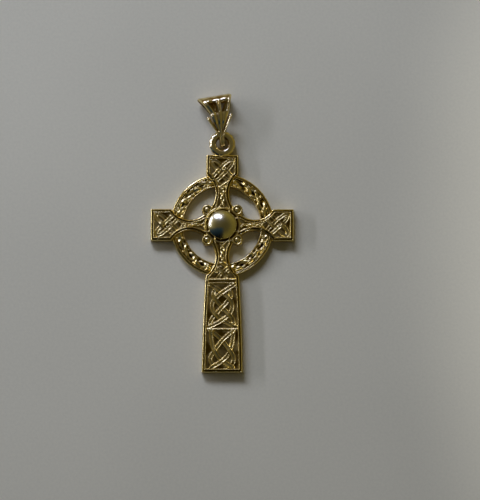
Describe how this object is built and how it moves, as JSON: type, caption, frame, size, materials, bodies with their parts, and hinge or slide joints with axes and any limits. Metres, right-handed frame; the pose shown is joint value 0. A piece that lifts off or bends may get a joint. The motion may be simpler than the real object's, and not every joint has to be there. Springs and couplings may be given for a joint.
{
  "type": "celtic cross pendant",
  "caption": "Cast gold pendant: a ringed cross with raised interlace and a domed boss, hung from an openwork bail that swings on the loop at its head.",
  "frame": {"origin": "on the flat back face, under the middle of the boss", "axes": "+Y towards the head and its loop, +X to the cross's right arm seen from the front, +Z out of the front; the pendant lies on its back"},
  "size_m": [0.0262, 0.0511, 0.0036],
  "materials": {
    "cast_gold": "yellow gold, lost-wax cast, tumbled, with polished high lines and a mirror-polished boss",
    "bail_gold": "yellow gold, cast and polished"
  },
  "bodies": {
    "cross": {"cross": "cast_gold"},
    "bail": {"bail": "bail_gold"}
  },
  "joints": [
    {"name": "bail_swing", "type": "hinge", "parent": "cross", "child": "bail", "pos_m": [-0.0003, 0.01658, 0.00125], "axis": [0.9848, 0.1736, 0], "range_deg": [-135, 122]}
  ]
}
